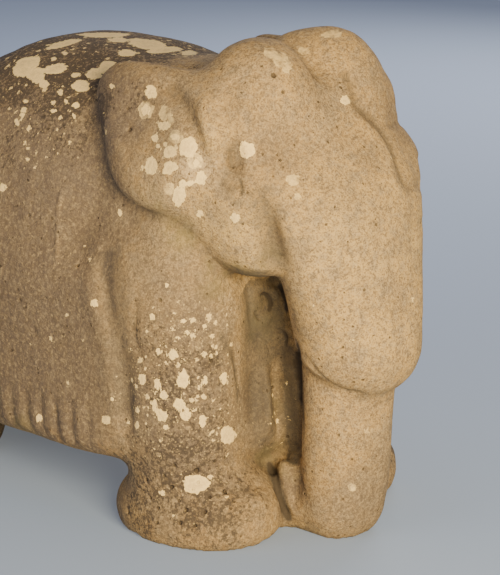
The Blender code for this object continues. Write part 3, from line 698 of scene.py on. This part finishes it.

# %% [markdown]
# Everything else comes in soft clouds. Each cloud is a place in the picture, a radius in its pixels and a
# strength, mirrored to the other side. Algae, grime and moss lie on the clay, though a few clouds of algae
# and grime, in the recess between the leg and the trunk and in the eye's hollow, are painted shade. Ochre
# is the orange-brown of its damp edges, brown a stain in the clay itself and painted shade in a few
# recesses, pale is paler clay with painted light on the cheek, jaw, trunk and leg edge, and the painted
# shade clouds darken the crevices and recesses, together with the lines of painted shade. Crumbs are
# lichens that have only just begun. What the picture doesn't show, such as the rear and the upper side,
# gets its share by the way it faces.

# %% Store the clouds of weather, painted light and painted shade
CLOUD_SPREAD = 1.2
FLANK_FROM, FLANK_FULL = trunk_foot.y + 0.12, trunk_foot.y + 0.24
CLOUDS = {
    "algae": [
        (20, 80, 60, 0.9), (70, 75, 70, 1.0), (90, 55, 50, 1.0), (60, 110, 45, 0.75), (110, 45, 50, 0.85),
        (85, 130, 40, 0.62), (68, 98, 46, 0.95), (100, 108, 40, 0.85), (30, 130, 40, 0.45),
        (160, 52, 40, 0.4), (130, 130, 40, 0.35), (150, 345, 45, 0.35), (172, 325, 36, 0.35),
        (215, 360, 26, 0.7), (190, 430, 80, 0.6), (180, 380, 90, 0.6), (150, 340, 60, 0.5),
        (190, 455, 80, 0.66), (250, 465, 55, 0.52), (150, 480, 90, 0.68), (238, 495, 60, 0.58),
        # The clouds at (265, 350), (255, 375) and (270, 440) lie on the chest between the leg and the
        # trunk, and are painted shade there.
        (140, 505, 70, 0.64), (200, 505, 90, 0.68), (265, 350, 36, 0.4), (255, 375, 36, 0.4),
        (270, 440, 36, 0.35), (115, 190, 40, 0.35), (30, 240, 60, 0.25), (20, 330, 60, 0.3),
        (60, 400, 50, 0.3), (40, 122, 60, 0.62), (70, 140, 54, 0.52), (15, 150, 60, 0.48),
        (20, 190, 60, 0.38), (60, 230, 90, 0.34), (50, 310, 110, 0.32), (110, 330, 60, 0.3),
        (138, 98, 40, 0.55), (118, 120, 36, 0.45),
    ],
    "grime": [
        (60, 90, 110, 0.8), (125, 108, 55, 0.85), (160, 170, 40, 0.4), (190, 340, 60, 0.6),
        (150, 400, 60, 0.6), (210, 380, 50, 0.7), (200, 470, 70, 0.8), (130, 480, 50, 0.6),
        # The clouds at (270, 400), (290, 480) and (250, 350) lie in the recess between the leg and the
        # trunk, and the one at (235, 165) in the eye's hollow; they are painted shade there.
        (50, 160, 100, 0.75), (270, 400, 50, 0.6), (290, 480, 40, 0.5), (20, 300, 120, 0.4),
        (60, 400, 70, 0.5), (330, 120, 60, 0.25), (320, 230, 60, 0.15), (250, 350, 40, 0.5),
        (235, 165, 30, 0.35), (120, 350, 50, 0.4), (380, 520, 50, 0.3),
    ],
    "moss": [
        (222, 266, 22, 0.7), (250, 276, 22, 0.8), (238, 268, 16, 0.5), (215, 285, 24, 0.4),
        (262, 320, 34, 0.7), (240, 430, 14, 0.4), (266, 452, 26, 0.6), (278, 400, 30, 0.3),
        (284, 470, 20, 0.4), (20, 425, 30, 0.4), (150, 205, 26, 0.4), (180, 232, 26, 0.6),
        (270, 260, 20, 0.4),
    ],
    "ochre": [
        (10, 428, 36, 0.9), (60, 440, 26, 0.9), (110, 452, 26, 0.9), (150, 536, 26, 0.8),
        (200, 545, 30, 0.9), (250, 536, 26, 0.8), (60, 400, 60, 0.3), (320, 532, 30, 0.5),
        (365, 528, 30, 0.4), (290, 520, 20, 0.4), (30, 290, 90, 0.3), (210, 120, 60, 0.35),
        (60, 220, 60, 0.2),
    ],
    "bleach": [
        (352, 487, 6, 0.8), (366, 430, 6, 0.7), (333, 507, 6, 0.5), (196, 165, 34, 0.75),
        (178, 190, 22, 0.6), (232, 310, 40, 0.5), (210, 250, 40, 0.3),
    ],
    # Painted shade in the chest recess and beside the trunk's tip.
    "painted_shade": [
        (262, 306, 22, 0.7), (262, 340, 30, 0.5), (255, 372, 40, 0.4), (290, 385, 20, 0.85),
        (296, 445, 18, 0.8), (268, 455, 26, 0.45),
    ],
    # A brown stain in the clay; the clouds in the chest recess and on the tassels, beside the trunk's tip,
    # in the eye's hollow and at the cheek corner are painted shade.
    "brown": [
        (180, 315, 90, 0.75), (175, 380, 110, 0.85), (180, 430, 110, 0.85), (190, 490, 110, 0.62),
        (255, 400, 70, 0.9), (360, 505, 60, 0.65), (395, 120, 40, 0.55), (60, 90, 90, 0.5),
        (130, 110, 60, 0.8), (250, 485, 50, 0.6), (290, 490, 30, 0.6), (250, 338, 36, 0.75),
        (264, 448, 34, 0.9), (291, 482, 34, 0.95), (284, 505, 26, 0.8), (243, 105, 34, 0.25),
        (243, 160, 34, 0.35), (274, 250, 24, 0.5),
    ],
    # Paler clay, and painted light on the cheek, jaw, ear roll, trunk front and leg edge.
    "pale": [
        (228, 238, 56, 1.0), (250, 258, 40, 1.0), (205, 225, 30, 0.6), (212, 140, 26, 0.7),
        (350, 250, 100, 0.7), (370, 330, 70, 0.6), (320, 300, 60, 0.5), (235, 275, 20, 0.5),
        (225, 300, 26, 0.3), (190, 245, 24, 0.4),
    ],
    "crumbs": [
        (60, 90, 100, 0.45), (110, 60, 50, 0.45), (170, 150, 40, 0.4), (185, 350, 60, 0.9),
        (170, 400, 70, 1.0), (205, 430, 60, 0.8), (200, 480, 60, 0.25), (40, 130, 60, 0.5),
        (60, 300, 130, 0.03), (280, 420, 50, 0.15), (330, 250, 130, 0.01),
    ],
}


def cloud_amount(clouds):
    """How much of a set of clouds each vertex has, from zero to one."""
    amount = np.zeros(count)
    for u, v, radius, strength in clouds:
        hit = on_clay(u, v)
        if not hit:
            continue
        for side in (1, -1):
            flip = np.array([side, 1, 1])
            centre, normal = np.array(hit[0]) * flip, np.array(hit[1]) * flip
            gap = np.linalg.norm(places - centre, axis=1) / (MM * PIXEL_MM * CLOUD_SPREAD * radius)
            same_way = smooth_step(facing @ normal, -0.3, 0.3)
            amount = np.maximum(amount, strength * same_way * (1 - smooth_step(gap, 0.1, 1.0)))
    return amount


rear = smooth_step(places[:, 1], 0.0, 0.15)
rear_foot = rear * (1 - smooth_step(places[:, 2], 0.08, 0.16))
topside = smooth_step(facing[:, 2], 0.35, 0.9) * smooth_step(places[:, 1], -0.2, -0.05)
sole_band = 1 - smooth_step(places[:, 2], 0.003, 0.022)
on_flank = smooth_step(np.abs(facing[:, 0]), 0.3, 0.9) * smooth_step(places[:, 1], FLANK_FROM, FLANK_FULL)
by_place = {
    "algae": np.maximum(0.16, np.maximum(0.85 * topside, 0.55 * rear_foot + 0.2 * rear)),
    "grime": np.maximum(0.8 * topside, 0.45 * rear),
    "ochre": np.maximum(0.7 * sole_band, 0.2 * rear),
    "crumbs": np.maximum(0.4 * topside, 0.25 * rear),
    "brown": np.maximum(on_flank, 0.7 * rear),
    "painted_shade": shade_on_lines,
}
for name, clouds in CLOUDS.items():
    amount = np.maximum(cloud_amount(clouds), by_place.get(name, 0.0))
    store(name, amount)
    print(name, "on", round(100 * float((amount > 0.3).mean()), 1), "% of the vertices")

# %% [markdown]
# ## Building materials out of small groups
# The clay's finish has many layers. The effects that need several nodes, or that are used more than once,
# are shader node groups: grain, pits, a film in specks, the crust of a lichen and crumbs. A group gives out
# only masks and heights, so it can be read and tried alone, and the material mixes the colours. Patterns
# read Object coordinates in metres, so their scale is the real one.

# %% Helpers for nodes
def put(tree, kind, inputs=None, **settings):
    """Adds a node, sets its settings, and sets or joins its inputs."""
    made = tree.nodes.new(kind)
    for name, value in settings.items():
        setattr(made, name, value)
    for name, value in (inputs or {}).items():
        socket = made.inputs[name]
        if isinstance(value, bpy.types.NodeSocket):
            tree.links.new(value, socket)
        else:
            socket.default_value = value
    return made


def maths(tree, operation, *values):
    """One sum, product or other operation on numbers."""
    return put(tree, "ShaderNodeMath", dict(enumerate(values)), operation=operation).outputs[0]


def step_up(tree, value, low, high, to_low=0.0, to_high=1.0):
    """A soft step from one value to another."""
    ends = {"Value": value, "From Min": low, "From Max": high, "To Min": to_low, "To Max": to_high}
    return put(tree, "ShaderNodeMapRange", ends, interpolation_type="SMOOTHSTEP").outputs["Result"]


def noise_value(tree, vector, scale, detail=2.0, roughness=0.5):
    """The noise at a place, around one half."""
    inputs = {"Vector": vector, "Scale": scale, "Detail": detail, "Roughness": roughness}
    return put(tree, "ShaderNodeTexNoise", inputs).outputs[0]


def layered(tree, mask, below, above, label=""):
    """The colour above where the mask is one, the colour below elsewhere."""
    colours = {0: mask, 6: below, 7: above}
    return put(tree, "ShaderNodeMix", colours, data_type="RGBA", label=label).outputs[2]


def start_group(name, inputs, outputs):
    """An empty group with number and vector inputs and number outputs, and its two end nodes."""
    group = bpy.data.node_groups.new(name, "ShaderNodeTree")
    for label, kind in inputs:
        group.interface.new_socket(label, in_out="INPUT", socket_type="NodeSocket" + kind)
    for label in outputs:
        group.interface.new_socket(label, in_out="OUTPUT", socket_type="NodeSocketFloat")
    return group, group.nodes.new("NodeGroupInput").outputs, group.nodes.new("NodeGroupOutput")


def use_group(tree, group, inputs):
    """The outputs of a group with these inputs."""
    return put(tree, "ShaderNodeGroup", inputs, node_tree=group).outputs


def random_cells(tree, vector, scale):
    """Round cells: the distance from the middle of the nearest one, and its two random numbers."""
    inputs = {"Vector": vector, "Scale": scale, "Randomness": 1.0}
    cells = put(tree, "ShaderNodeTexVoronoi", inputs).outputs
    parted = put(tree, "ShaderNodeSeparateColor", {"Color": cells["Color"]}).outputs
    return cells["Distance"], parted[0], parted[1]


# %% [markdown]
# Fired clay shows light and dark grains of two sizes. Two noises are mixed, and the mix is split: its high
# values are the light grains, its low values the dark ones.

# %% The grain of fired clay
inputs = [("Place", "Vector"), ("Grains per metre", "Float")]
grain, given, result = start_group("Clay grain", inputs, ["Light", "Dark", "Height"])
fine = noise_value(grain, given["Place"], given["Grains per metre"], 2.0, 0.6)
coarse_scale = maths(grain, "MULTIPLY", given["Grains per metre"], 0.4)
coarse = noise_value(grain, given["Place"], coarse_scale, 2.0, 0.55)
both = maths(grain, "MULTIPLY_ADD", fine, 0.62, maths(grain, "MULTIPLY", coarse, 0.38))
grain.links.new(step_up(grain, both, 0.49, 0.62), result.inputs["Light"])
grain.links.new(step_up(grain, both, 0.51, 0.39), result.inputs["Dark"])
grain.links.new(both, result.inputs["Height"])
print("group", grain.name)

# %% [markdown]
# Pits are small holes where a grain has fallen out. A cell pattern gives round spots at random places. Only
# a share of the cells keeps its spot, and a noise makes the edges uneven.

# %% The pits
inputs = [("Place", "Vector"), ("Pits per metre", "Float"), ("Share", "Float")]
pits, given, result = start_group("Pits", inputs, ["Mask"])
distance, luck, bigness = random_cells(pits, given["Place"], given["Pits per metre"])
chosen = maths(pits, "LESS_THAN", luck, given["Share"])
size = maths(pits, "MULTIPLY_ADD", bigness, 0.18, 0.06)
warped = maths(pits, "MULTIPLY_ADD", noise_value(pits, given["Place"], 500.0), 0.30, distance)
deep = step_up(pits, maths(pits, "SUBTRACT", warped, size), 0.22, 0.10)
pits.links.new(maths(pits, "MULTIPLY", deep, chosen), result.inputs["Mask"])
print("group", pits.name)

# %% [markdown]
# Grime and algae don't fade evenly. They take hold in specks, first a few, then more, until the specks
# join. A threshold on a noise, sinking as the stored amount rises, gives just that.

# %% A film that takes hold in specks
inputs = [("Place", "Vector"), ("Amount", "Float"), ("Size", "Float")]
film, given, result = start_group("Film", inputs, ["Mask"])
broad = noise_value(film, given["Place"], maths(film, "DIVIDE", 0.7, given["Size"]), 3.0, 0.6)
speck = noise_value(film, given["Place"], maths(film, "DIVIDE", 4.0, given["Size"]), 3.0, 0.65)
level = maths(film, "MULTIPLY_ADD", speck, 0.72, maths(film, "MULTIPLY", broad, 0.28))
threshold = step_up(film, given["Amount"], 0.0, 1.0, 0.66, 0.40)
difference = maths(film, "SUBTRACT", level, threshold)
film.links.new(step_up(film, difference, -0.05, 0.10), result.inputs["Mask"])
print("group", film.name)

# %% [markdown]
# The edge of a lichen is ragged at two scales, with a wavy outline and small nibbles. Both are added to the
# stored distance from the edge, and the crust is where the sum is below zero.

# %% The crust of a lichen
inputs = [("Place", "Vector"), ("Edge distance", "Float"), ("Raggedness", "Float")]
crust, given, result = start_group("Crust", inputs, ["Mask", "Height"])
wavy = maths(crust, "SUBTRACT", noise_value(crust, given["Place"], 190.0, 2.0, 0.6), 0.5)
nibbled = maths(crust, "SUBTRACT", noise_value(crust, given["Place"], 600.0, 2.0, 0.6), 0.5)
distance = maths(crust, "MULTIPLY_ADD", wavy, given["Raggedness"], given["Edge distance"])
distance = maths(crust, "MULTIPLY_ADD", nibbled, 2.0, distance)
inside = step_up(crust, distance, 0.35, -0.35)
warts = maths(crust, "MULTIPLY_ADD", noise_value(crust, given["Place"], 700.0), 0.6, 0.5)
crust.links.new(inside, result.inputs["Mask"])
crust.links.new(maths(crust, "MULTIPLY", inside, warts), result.inputs["Height"])
print("group", crust.name)

# %% [markdown]
# Young lichens are crumbs a few millimetres across. They are cells like the pits, and more of them show
# where the stored amount is high.

# %% Crumbs of lichen
inputs = [("Place", "Vector"), ("Amount", "Float"), ("Cells per metre", "Float")]
crumb, given, result = start_group("Crumbs", inputs, ["Mask"])
distance, luck, bigness = random_cells(crumb, given["Place"], given["Cells per metre"])
chosen = maths(crumb, "LESS_THAN", luck, maths(crumb, "MULTIPLY", given["Amount"], 0.85))
size = maths(crumb, "MULTIPLY_ADD", maths(crumb, "POWER", bigness, 2.0), 0.28, 0.12)
nibbled = maths(crumb, "SUBTRACT", noise_value(crumb, given["Place"], 420.0), 0.5)
warped = maths(crumb, "MULTIPLY_ADD", nibbled, 0.9, distance)
round_crumb = step_up(crumb, maths(crumb, "SUBTRACT", warped, size), 0.04, -0.04)
crumb.links.new(maths(crumb, "MULTIPLY", round_crumb, chosen), result.inputs["Mask"])
print("group", crumb.name)

# %% [markdown]
# ## The weathered clay
# The clay itself is a warm buff. Over it lie many thin layers, each a mask with a colour, and their order
# is the order of the weather, with painted light and shade among them. Paler clay with painted light on the
# cheek, jaw, trunk and leg edge and stains that are in the clay come first, some of the brown being painted
# shade in recesses, then what has bleached or rusted it, streaks and chalk, grime, the clay's own light and
# dark grains, algae with the soiling and painted shade of the hollows, moss, painted shade in crevices and
# recesses, darkest in the deepest, pits, and last the cream lichens, which cover everything.
#
# Where the clay is brown, stained in most places and in painted shade in a few recesses, the mottles and
# light grains show less, so their masks are made weaker.

# %% Name the colours
BUFF = (0.428, 0.266, 0.100, 1.0)
WARM = (0.448, 0.268, 0.090, 1.0)
GREY_STAIN = (0.272, 0.202, 0.124, 1.0)
BROWN_STAIN_AND_SHADE = (0.112, 0.081, 0.061, 1.0)
DARK_MOTTLE = (0.234, 0.162, 0.088, 1.0)
PALE_MOTTLE = (0.496, 0.336, 0.162, 1.0)
PALE_GRAIN = (0.540, 0.378, 0.180, 1.0)
DARK_GRAIN = (0.128, 0.088, 0.054, 1.0)
OCHRE = (0.330, 0.196, 0.076, 1.0)
PALE_AND_LIT_CLAY = (0.606, 0.392, 0.138, 1.0)
BLEACHED = (0.608, 0.428, 0.225, 1.0)
GRIME_AND_SHADE = (0.136, 0.100, 0.074, 1.0)
ALGAE_AND_SHADE = (0.058, 0.043, 0.032, 1.0)
PAINTED_SHADE = (0.072, 0.060, 0.047, 1.0)
MOSS = (0.200, 0.156, 0.050, 1.0)
PIT_AND_DEEP_SHADE = (0.060, 0.040, 0.022, 1.0)
LICHEN = (0.970, 0.690, 0.285, 1.0)
LICHEN_SHADE = (0.790, 0.550, 0.235, 1.0)

# %% Helpers for the layers of the clay
clay = bpy.data.materials.new("weathered_clay")
clay.use_nodes = True
tree = clay.node_tree
tree.nodes.clear()
place = put(tree, "ShaderNodeTexCoord").outputs["Object"]


def stored(name):
    """A number that is stored on the vertices."""
    return put(tree, "ShaderNodeAttribute", attribute_name=name).outputs["Fac"]


def times(mask, strength):
    """A mask at a strength, or two masks together."""
    return maths(tree, "MULTIPLY", mask, strength)


def cloudy(scale, low, high, strength, detail=3.0):
    """Where a noise of one scale lies between two levels, at a strength."""
    return times(step_up(tree, noise_value(tree, place, scale, detail, 0.6), low, high), strength)


def film_of(name, size):
    """Where the film of one stored cloud has taken hold."""
    return use_group(tree, film, {"Place": place, "Amount": stored(name), "Size": size})["Mask"]


def crumbs_of(cells_per_metre):
    """The crumbs of lichen of one size."""
    inputs = {"Place": place, "Amount": stored("crumbs"), "Cells per metre": cells_per_metre}
    return use_group(tree, crumb, inputs)["Mask"]


def crust_of(name, raggedness):
    """The mask and height of one stored set of lichens."""
    inputs = {"Place": place, "Edge distance": stored(name), "Raggedness": raggedness}
    return use_group(tree, crust, inputs)


# %% Find where each layer shows
browned = stored("brown")
less_brown = maths(tree, "MULTIPLY_ADD", browned, -0.56, 1.0)
brownness = maths(tree, "MULTIPLY_ADD", browned, 0.90, cloudy(15.0, 0.52, 0.72, 0.3))
drawn_out = put(tree, "ShaderNodeVectorMath", {0: place, 1: (1.0, 1.0, 0.14)}, operation="MULTIPLY")
upright = noise_value(tree, drawn_out.outputs[0], 110.0, 3.0, 0.6)
streaks = times(step_up(tree, upright, 0.48, 0.64), browned)
grains = use_group(tree, grain, {"Place": place, "Grains per metre": 520.0})
algae = film_of("algae", 0.019)
# How far a vertex lies in a hollow, for soiling and painted shade there.
hollow_soiling_and_shade = step_up(tree, stored("hollow"), 0.3, 2.0)
algae_soiling_and_shade = maths(tree, "MAXIMUM", times(algae, 0.84), times(hollow_soiling_and_shade, 0.32))
small_pits = use_group(tree, pits, {"Place": place, "Pits per metre": 140.0, "Share": 0.10})["Mask"]
pitted = maths(tree, "MAXIMUM", small_pits, step_up(tree, stored("pit"), 0.7, -0.7))
crumbs = maths(tree, "MAXIMUM", crumbs_of(112.0), times(crumbs_of(290.0), 0.35))
faint_mask = times(crust_of("faint_lichen", 6.0)["Mask"], cloudy(90.0, 0.30, 0.60, 0.60))
lichen = crust_of("lichen", 6.5)
lichen_mask = maths(tree, "MAXIMUM", lichen["Mask"], times(crumbs, 0.8))
old_middle = times(step_up(tree, stored("lichen"), -3.0, -5.5), cloudy(230.0, 0.40, 0.58, 0.8))
lichen_shade = maths(tree, "MAXIMUM", old_middle, cloudy(420.0, 0.47, 0.64, 0.6, 2.0))
lichen_colour = layered(tree, lichen_shade, LICHEN, LICHEN_SHADE, "lichen and its shade")

# %% Lay the layers over each other
layers = [
    ("broad grey", cloudy(9.0, 0.45, 0.65, 0.60), GREY_STAIN),
    ("broad warm", cloudy(21.0, 0.50, 0.68, 0.60), WARM),
    # Paler clay, with painted light on the cheek, jaw, ear roll, trunk front and leg edge.
    ("pale clay and painted light", times(stored("pale"), 0.85), PALE_AND_LIT_CLAY),
    ("grey patches", cloudy(24.0, 0.50, 0.64, 0.36), GREY_STAIN),
    ("warm patches", cloudy(46.0, 0.52, 0.66, 0.28), WARM),
    # Brown stain, which in the chest recess, beside the trunk's tip, in the eye's hollow and at the cheek
    # corner is painted shade.
    ("brown stain and painted shade", maths(tree, "MINIMUM", brownness, 0.94), BROWN_STAIN_AND_SHADE),
    ("dark mottles", times(cloudy(34.0, 0.47, 0.66, 0.62), less_brown), DARK_MOTTLE),
    ("grey mottles", times(cloudy(78.0, 0.50, 0.64, 0.58), less_brown), GREY_STAIN),
    ("bleached", times(film_of("bleach", 0.016), 0.70), BLEACHED),
    ("ochre", times(film_of("ochre", 0.040), 0.55), OCHRE),
    ("small dark mottles", times(cloudy(150.0, 0.49, 0.66, 0.60), less_brown), DARK_MOTTLE),
    ("small pale mottles", times(cloudy(210.0, 0.51, 0.66, 0.45), less_brown), PALE_MOTTLE),
    ("streaks", times(streaks, 0.34), GRIME_AND_SHADE),
    ("dark spots", times(cloudy(130.0, 0.50, 0.64, 0.55), browned), DARK_GRAIN),
    ("chalk", times(cloudy(190.0, 0.54, 0.66, 0.34), browned), PALE_GRAIN),
    # Grime, which in the recess between the leg and the trunk and in the eye's hollow is painted shade.
    ("grime", times(film_of("grime", 0.034), 0.60), GRIME_AND_SHADE),
    ("light grains", times(times(grains["Light"], 0.46), less_brown), PALE_GRAIN),
    ("dark grains", times(grains["Dark"], 0.66), DARK_GRAIN),
    # Algae, with soiling and painted shade in the hollows; a few clouds of algae on the chest are painted
    # shade too.
    ("algae, soiling and painted shade in hollows", algae_soiling_and_shade, ALGAE_AND_SHADE),
    ("moss", times(stored("moss"), cloudy(40.0, 0.30, 0.60, 0.75)), MOSS),
    # Painted shade in the crevices and recesses, darkest in the deepest of them.
    ("painted_shade", times(stored("painted_shade"), 0.90), PAINTED_SHADE),
    ("darkest painted shade", step_up(tree, stored("painted_shade"), 0.78, 1.0, 0.0, 0.60), PIT_AND_DEEP_SHADE),
    ("pits", times(pitted, 0.72), PIT_AND_DEEP_SHADE),
    ("faint lichens", faint_mask, LICHEN),
    ("lichens", times(lichen_mask, 0.93), lichen_colour),
]
colour = BUFF
for name, mask, paint in layers:
    colour = layered(tree, mask, colour, paint, name)
print("clay:", len(layers), "layers of colour")

# %% Give the clay its surface
BUMP_HEIGHT = 0.0013
height = maths(tree, "MULTIPLY_ADD", pitted, -0.9, grains["Height"])
height = maths(tree, "MULTIPLY_ADD", noise_value(tree, place, 150.0), 0.8, height)
height = maths(tree, "MULTIPLY_ADD", algae, -0.25, height)
height = maths(tree, "MULTIPLY_ADD", lichen["Height"], 0.5, height)
bump = put(tree, "ShaderNodeBump", {"Strength": 1.0, "Distance": BUMP_HEIGHT, "Height": height})
surface = put(
    tree,
    "ShaderNodeBsdfPrincipled",
    {"Base Color": colour, "Roughness": 0.95, "Specular IOR Level": 0.2, "Normal": bump.outputs["Normal"]},
)
put(tree, "ShaderNodeOutputMaterial", {"Surface": surface.outputs["BSDF"]})
mesh.materials.append(clay)
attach(elephant, "root")
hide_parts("elephant")
print("finish:", len(tree.nodes), "nodes")

# %% [markdown]
# ## A plain floor and soft light
# A pale floor and large soft lamps show the clay without adding a story. The key lamp stands to the
# camera's right, as in the picture, so the face and trunk are bright and the flank falls away. Weaker lamps
# at the near flank, at the far flank and behind keep the other views from going black. The floor is wide
# and glows faintly, so it meets the air without a dark edge.
#
# Each lamp has an azimuth and an elevation in degrees, a distance and a size in metres, a power in watts
# and a colour.

# %% Lay the floor
FLOOR_HALF = 30.0
FLOOR_COLOUR = (0.26, 0.33, 0.46, 1.0)
FLOOR_GLOW = (0.86, 0.90, 1.0, 1.0)
floor_mesh = bpy.data.meshes.new("floor")
floor_form = bmesh.new()
bmesh.ops.create_grid(floor_form, x_segments=1, y_segments=1, size=FLOOR_HALF)
floor_form.to_mesh(floor_mesh)
floor_form.free()
floor = bpy.data.objects.new("floor", floor_mesh)
bpy.context.scene.collection.objects.link(floor)
paper = bpy.data.materials.new("pale_floor")
paper.use_nodes = True
paper_inputs = paper.node_tree.nodes["Principled BSDF"].inputs
paper_inputs["Base Color"].default_value = FLOOR_COLOUR
paper_inputs["Roughness"].default_value = 0.9
paper_inputs["Emission Color"].default_value = FLOOR_GLOW
paper_inputs["Emission Strength"].default_value = 0.12
floor_mesh.materials.append(paper)
print("floor:", 2 * FLOOR_HALF, "metres square")

# %% Hang the lamps
LAMPS_AIM = Vector((0, -0.1, 0.3))
LAMPS = {
    "key": (-30, 14, 2.8, 1.2, 172.0, (1.0, 0.845, 0.53)),
    "side": (-105, 22, 3.0, 2.0, 22.0, (1.0, 0.92, 0.84)),
    "fill": (112, 24, 3.2, 2.0, 60.0, (1.0, 0.93, 0.84)),
    "back": (180, 30, 3.0, 1.6, 14.0, (1.0, 0.94, 0.86)),
}
AIR_COLOUR = (0.62, 0.76, 1.16, 1.0)
AIR_STRENGTH = 0.24


def soft_lamp(name, azimuth, elevation, distance, size, power, colour):
    """A square lamp that looks at the middle of the figure; azimuth 0 is in front of its face."""
    a, e = math.radians(azimuth), math.radians(elevation)
    towards = Vector((math.sin(a) * math.cos(e), -math.cos(a) * math.cos(e), math.sin(e)))
    lamp = bpy.data.lights.new(name, "AREA")
    lamp.size = size
    lamp.energy = power
    lamp.color = colour
    body = bpy.data.objects.new(name, lamp)
    bpy.context.scene.collection.objects.link(body)
    body.location = LAMPS_AIM + towards * distance
    body.rotation_euler = towards.to_track_quat("Z", "Y").to_euler()


for name, settings in LAMPS.items():
    soft_lamp(name, *settings)
world = bpy.data.worlds.new("pale air")
bpy.context.scene.world = world
world.use_nodes = True
air = world.node_tree.nodes["Background"].inputs
air["Color"].default_value = AIR_COLOUR
air["Strength"].default_value = AIR_STRENGTH
print("lamps:", ", ".join(LAMPS))
